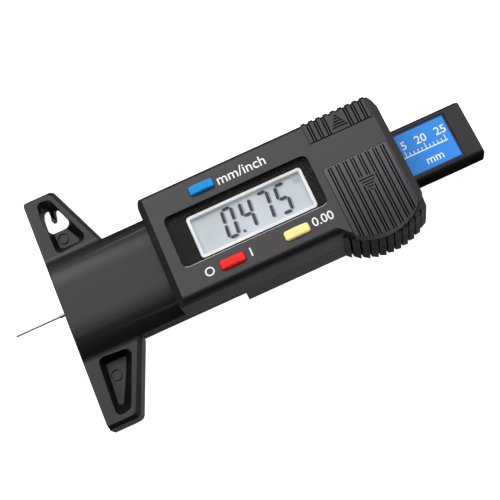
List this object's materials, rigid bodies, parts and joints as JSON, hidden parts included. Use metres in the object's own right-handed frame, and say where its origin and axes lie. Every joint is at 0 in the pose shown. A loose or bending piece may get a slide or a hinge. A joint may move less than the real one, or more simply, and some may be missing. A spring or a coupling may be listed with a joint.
{
  "type": "tire tread depth gauge",
  "caption": "Hand-held digital tread depth gauge: T-shaped base, steel probe on a sliding beam, display housing with push buttons and a sliding battery cover.",
  "frame": {"origin": "centre of the probe hole in the base's contact face", "axes": "+X from the contact face to the tail, along the probe; +Y across the base, to the side of the unit button; +Z out of the display face"},
  "size_m": [0.1174, 0.0606, 0.018],
  "materials": {
    "frame_plastic": "fine moulded grain, satin",
    "housing_plastic": "fine moulded grain, satin",
    "cover_plastic": "fine moulded grain, satin",
    "beam_plastic": "smooth moulded",
    "window_pane": "clear, polished",
    "white_plastic": "smooth white",
    "lcd": "grey reflective display",
    "contact_rubber": "layered elastomer",
    "circuit_board": "solder mask",
    "epoxy": "cured black resin",
    "ceramic_chip": "fired ceramic",
    "steel": "brushed",
    "dark_steel": "blackened",
    "cell_steel": "plated",
    "bronze": "spring strip",
    "label": "printed film",
    "blue_key": "glossy",
    "red_key": "glossy",
    "yellow_key": "glossy"
  },
  "bodies": {
    "gauge_body": {"base_frame": "frame_plastic", "front_housing": "housing_plastic", "rear_cover": "cover_plastic", "display_window": "window_pane", "lcd_frame": "white_plastic", "lcd_glass": "lcd", "contact_strips": "contact_rubber", "main_board": "circuit_board", "chip_cover": "epoxy", "crystal": "steel", "capacitors": "ceramic_chip", "tact_switches": "steel", "coin_cell": "cell_steel", "battery_contact_pos": "bronze", "battery_contact_neg": "bronze", "housing_screws": "steel", "board_screws": "steel", "friction_spring": "bronze"},
    "slider": {"beam": "beam_plastic", "scale_board": "circuit_board", "beam_label": "label", "probe_pin": "steel", "probe_holder": "bronze", "probe_lock_screw": "dark_steel", "stop_screw": "steel"},
    "unit_key": {"unit_button": "blue_key"},
    "power_key": {"power_button": "red_key"},
    "zero_key": {"zero_button": "yellow_key"},
    "battery_door": {"battery_cover": "housing_plastic"}
  },
  "joints": [
    {"name": "probe_slide", "type": "slide", "parent": "gauge_body", "child": "slider", "axis": [-1, 0, 0], "range_m": [-0.0129, 0.0125]},
    {"name": "unit_press", "type": "slide", "parent": "gauge_body", "child": "unit_key", "axis": [0, 0, -1], "range_m": [0, 0.0005], "stiffness_N_per_m": 600, "springref_m": -0.0004},
    {"name": "power_press", "type": "slide", "parent": "gauge_body", "child": "power_key", "axis": [0, 0, -1], "range_m": [0, 0.0005], "stiffness_N_per_m": 600, "springref_m": -0.0004},
    {"name": "zero_press", "type": "slide", "parent": "gauge_body", "child": "zero_key", "axis": [0, 0, -1], "range_m": [0, 0.0005], "stiffness_N_per_m": 600, "springref_m": -0.0004},
    {"name": "battery_door_slide", "type": "slide", "parent": "gauge_body", "child": "battery_door", "axis": [0, -1, 0], "range_m": [0, 0.017]}
  ]
}
